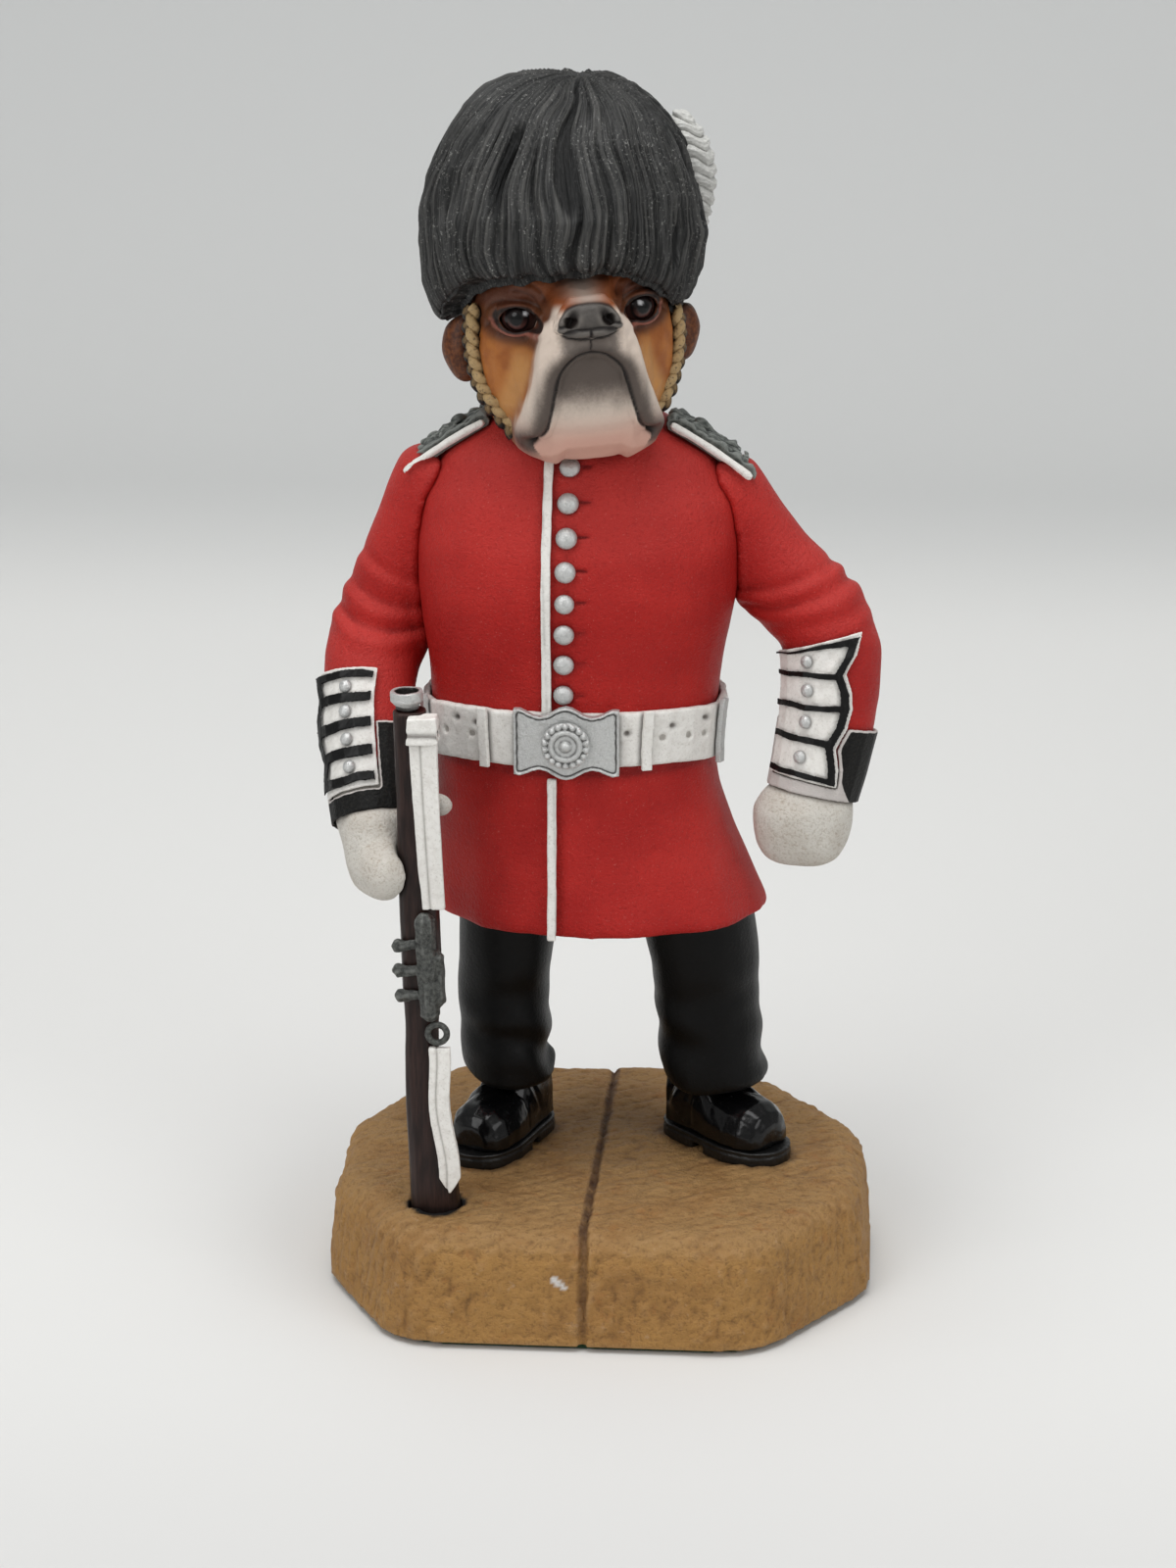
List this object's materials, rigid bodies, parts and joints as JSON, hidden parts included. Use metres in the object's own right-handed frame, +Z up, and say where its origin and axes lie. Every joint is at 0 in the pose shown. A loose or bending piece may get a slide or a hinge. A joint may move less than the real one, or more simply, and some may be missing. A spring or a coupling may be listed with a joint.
{
  "type": "guardsman dog figurine",
  "caption": "Standing boxer-type dog in a scarlet guardsman tunic and bearskin cap, holding a rifle at ease on a low octagonal plinth; a display figurine.",
  "frame": {"origin": "middle of the felt underside of the plinth", "axes": "+Z up; the figure faces -Y; +X is the figure's left"},
  "size_m": [0.0688, 0.0594, 0.1494],
  "materials": {
    "felt": "green felt sheet",
    "sandstone": "cast resin painted as ochre sandstone",
    "boot_black": "gloss black paint on cast resin",
    "trouser_black": "satin black paint on cast resin",
    "scarlet": "matt scarlet paint on cast resin",
    "white_trim": "off-white paint on cast resin",
    "silver": "silver paint on cast resin",
    "strap_grey": "grey-green paint on cast resin",
    "cuff_black": "black paint on cast resin",
    "coat_tan": "tan and white coat, hand painted on cast resin",
    "jaw_pink": "pink and white paint shaded dark under the lips",
    "nose_grey": "satin dark grey paint",
    "eye_dark": "glossy dark brown paint",
    "ear_brown": "brown paint on cast resin",
    "chain_gold": "dull gold paint with black in the hollows",
    "fur_grey": "charcoal paint dry-brushed with grey",
    "plume_white": "white paint on cast resin",
    "stock_brown": "dark red-brown paint",
    "gun_grey": "dark grey metallic paint"
  },
  "bodies": {
    "root": {"felt_pad": "felt", "base": "sandstone", "right_sole": "boot_black", "left_sole": "boot_black", "right_boot": "boot_black", "left_boot": "boot_black", "right_trouser_leg": "trouser_black", "left_trouser_leg": "trouser_black", "tunic": "scarlet", "upper_piping": "white_trim", "lower_piping": "white_trim", "tunic_buttons": "silver", "belt": "white_trim", "belt_keepers": "white_trim", "belt_slides": "silver", "buckle_plate": "silver", "buckle_roundel": "silver", "right_shoulder_strap": "strap_grey", "left_shoulder_strap": "strap_grey", "right_strap_piping": "white_trim", "left_strap_piping": "white_trim", "strap_buttons": "silver", "right_sleeve": "scarlet", "left_sleeve": "scarlet", "right_cuff": "cuff_black", "left_cuff": "cuff_black", "right_cuff_flash": "white_trim", "left_cuff_flash": "white_trim", "right_cuff_bars": "cuff_black", "left_cuff_bars": "cuff_black", "cuff_buttons": "silver", "right_glove": "white_trim", "left_glove": "white_trim", "head": "coat_tan", "lower_jaw": "jaw_pink", "nose": "nose_grey", "eyes": "eye_dark", "right_ear": "ear_brown", "left_ear": "ear_brown", "right_chin_chain": "chain_gold", "left_chin_chain": "chain_gold", "bearskin": "fur_grey", "plume": "plume_white", "rifle_stock": "stock_brown", "rifle_barrel": "silver", "rifle_action": "gun_grey", "sling_keeper": "white_trim", "upper_sling": "white_trim", "lower_sling": "white_trim", "sling_swivel": "silver"}
  },
  "joints": []
}
